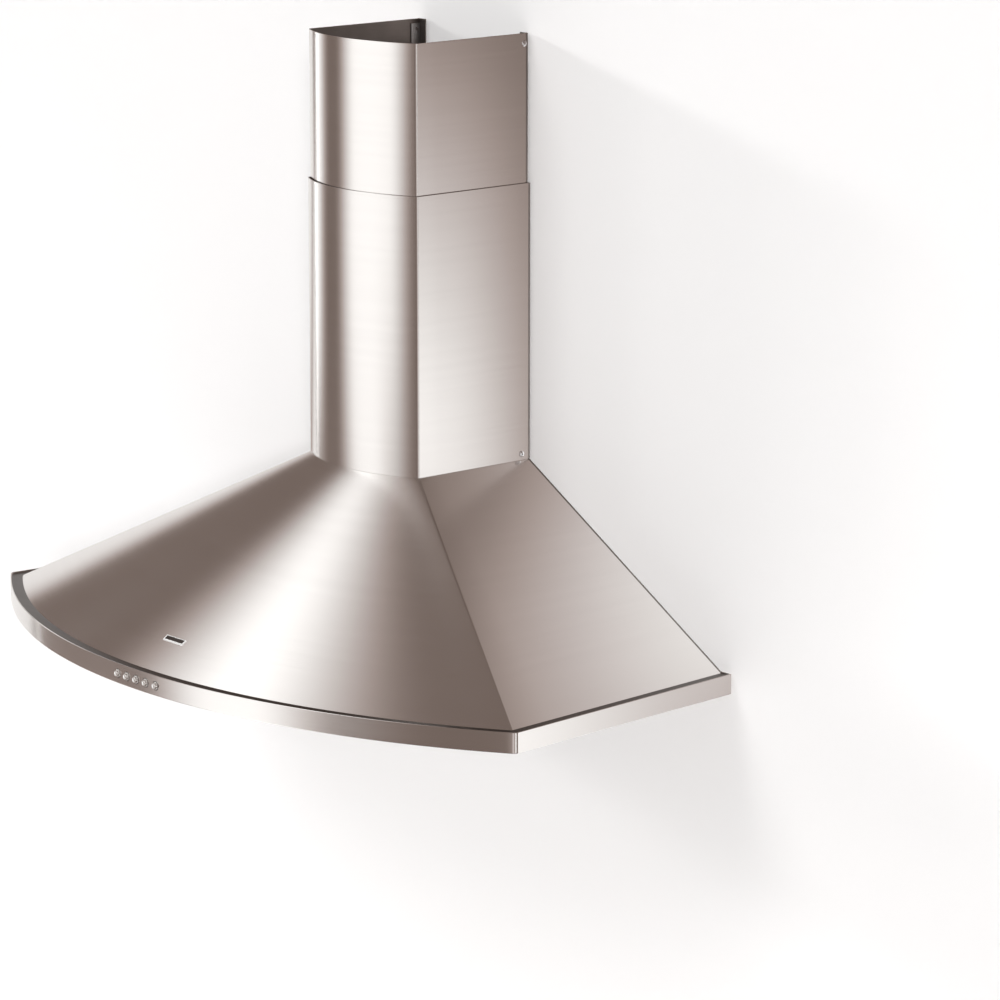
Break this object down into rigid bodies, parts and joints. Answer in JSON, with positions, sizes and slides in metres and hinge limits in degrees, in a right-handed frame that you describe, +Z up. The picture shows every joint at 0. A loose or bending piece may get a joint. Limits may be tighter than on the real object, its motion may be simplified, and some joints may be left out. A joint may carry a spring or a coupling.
{
  "type": "wall mount range hood",
  "caption": "Wall mount range hood with a bowed canopy, a slim rim with push buttons, hinged grease filters, lamps, a drum blower with a flapped duct collar, and a telescopic chimney cover.",
  "frame": {"origin": "on the wall plane at the back of the hood, midway between the two hanging holes", "axes": "+X to the right along the wall as seen from in front, +Y into the wall, +Z up"},
  "size_m": [0.8994, 0.472, 0.671],
  "materials": {
    "brushed_steel": "satin, fine brushed grain",
    "galvanised": "dull zinc-coated sheet",
    "filter_aluminium": "satin",
    "lamp_glass": "frosted",
    "bulb": "reflector lamp with a white cap",
    "white_plastic": "matte",
    "button_metal": "satin turned face",
    "black_plastic": "matte",
    "turned_steel": "bright zinc",
    "motor_steel": "dull grey",
    "bronze": "sintered",
    "grey_plastic": "matte"
  },
  "bodies": {
    "hood": {"rim_front_band": "brushed_steel", "rim_side_left": "brushed_steel", "rim_side_right": "brushed_steel", "canopy_front_panel": "brushed_steel", "canopy_side_left": "brushed_steel", "canopy_side_right": "brushed_steel", "canopy_top_flange": "galvanised", "back_plate": "galvanised", "underside_panel": "brushed_steel", "lamp_housing_left": "galvanised", "lamp_housing_right": "galvanised", "lamp_ring_left": "brushed_steel", "lamp_ring_right": "brushed_steel", "lamp_lens_left": "lamp_glass", "lamp_lens_right": "lamp_glass", "lamp_bulb_left": "bulb", "lamp_bulb_right": "bulb", "lamp_driver": "white_plastic", "switch_block": "black_plastic", "scroll_wall": "galvanised", "scroll_plate_left": "galvanised", "scroll_plate_right": "galvanised", "motor_can": "motor_steel", "motor_bushes": "bronze", "motor_bracket": "galvanised", "blower_bracket_left": "galvanised", "blower_bracket_right": "galvanised", "blower_screws": "turned_steel", "outlet_adapter": "grey_plastic", "outlet_collar": "grey_plastic", "flap_pins": "turned_steel", "terminal_box": "grey_plastic", "terminal_lid": "grey_plastic", "cable_gland": "black_plastic", "capacitor": "white_plastic", "capacitor_clip": "galvanised", "lower_cover": "brushed_steel", "lower_bracket": "galvanised", "lower_cover_screws": "turned_steel"},
    "telescopic_cover": {"upper_cover": "brushed_steel", "upper_bracket": "galvanised", "upper_cover_screws": "turned_steel"},
    "left_filter": {"filter_frame_left": "filter_aluminium", "filter_net_left": "filter_aluminium"},
    "right_filter": {"filter_frame_right": "filter_aluminium", "filter_net_right": "filter_aluminium"},
    "left_catch": {"filter_catch_left": "filter_aluminium"},
    "right_catch": {"filter_catch_right": "filter_aluminium"},
    "push_button_1": {"button_1": "button_metal"},
    "push_button_2": {"button_2": "button_metal"},
    "push_button_3": {"button_3": "button_metal"},
    "push_button_4": {"button_4": "button_metal"},
    "push_button_5": {"button_5": "button_metal"},
    "fan_wheel": {"impeller": "galvanised", "motor_shaft": "turned_steel"},
    "front_flap": {"flap_front": "filter_aluminium"},
    "rear_flap": {"flap_rear": "filter_aluminium"}
  },
  "joints": [
    {"name": "cover_slide", "type": "slide", "parent": "hood", "child": "telescopic_cover", "axis": [0, 0, 1], "range_m": [-0.13, 0.11]},
    {"name": "left_filter_hinge", "type": "hinge", "parent": "hood", "child": "left_filter", "pos_m": [-0.144, -0.04, -0.156], "axis": [1, 0, 0], "range_deg": [0, 75]},
    {"name": "right_filter_hinge", "type": "hinge", "parent": "hood", "child": "right_filter", "pos_m": [0.144, -0.04, -0.156], "axis": [1, 0, 0], "range_deg": [0, 75]},
    {"name": "left_catch_slide", "type": "slide", "parent": "left_filter", "child": "left_catch", "axis": [0, 1, 0], "range_m": [0, 0.004], "stiffness_N_per_m": 300},
    {"name": "right_catch_slide", "type": "slide", "parent": "right_filter", "child": "right_catch", "axis": [0, 1, 0], "range_m": [0, 0.004], "stiffness_N_per_m": 300},
    {"name": "button_1_press", "type": "slide", "parent": "hood", "child": "push_button_1", "axis": [0, 1, 0], "range_m": [0, 0.0025], "stiffness_N_per_m": 400},
    {"name": "button_2_press", "type": "slide", "parent": "hood", "child": "push_button_2", "axis": [0, 1, 0], "range_m": [0, 0.0025], "stiffness_N_per_m": 400},
    {"name": "button_3_press", "type": "slide", "parent": "hood", "child": "push_button_3", "axis": [0, 1, 0], "range_m": [0, 0.0025], "stiffness_N_per_m": 400},
    {"name": "button_4_press", "type": "slide", "parent": "hood", "child": "push_button_4", "axis": [0, 1, 0], "range_m": [0, 0.0025], "stiffness_N_per_m": 400},
    {"name": "button_5_press", "type": "slide", "parent": "hood", "child": "push_button_5", "axis": [0, 1, 0], "range_m": [0, 0.0025], "stiffness_N_per_m": 400},
    {"name": "fan_spin", "type": "hinge", "parent": "hood", "child": "fan_wheel", "pos_m": [0, -0.082, -0.04], "axis": [1, 0, 0], "continuous": true},
    {"name": "front_flap_hinge", "type": "hinge", "parent": "hood", "child": "front_flap", "pos_m": [0, -0.098, 0.097], "axis": [-1, 0, 0], "range_deg": [0, 80]},
    {"name": "rear_flap_hinge", "type": "hinge", "parent": "hood", "child": "rear_flap", "pos_m": [0, -0.086, 0.097], "axis": [1, 0, 0], "range_deg": [0, 80]}
  ]
}
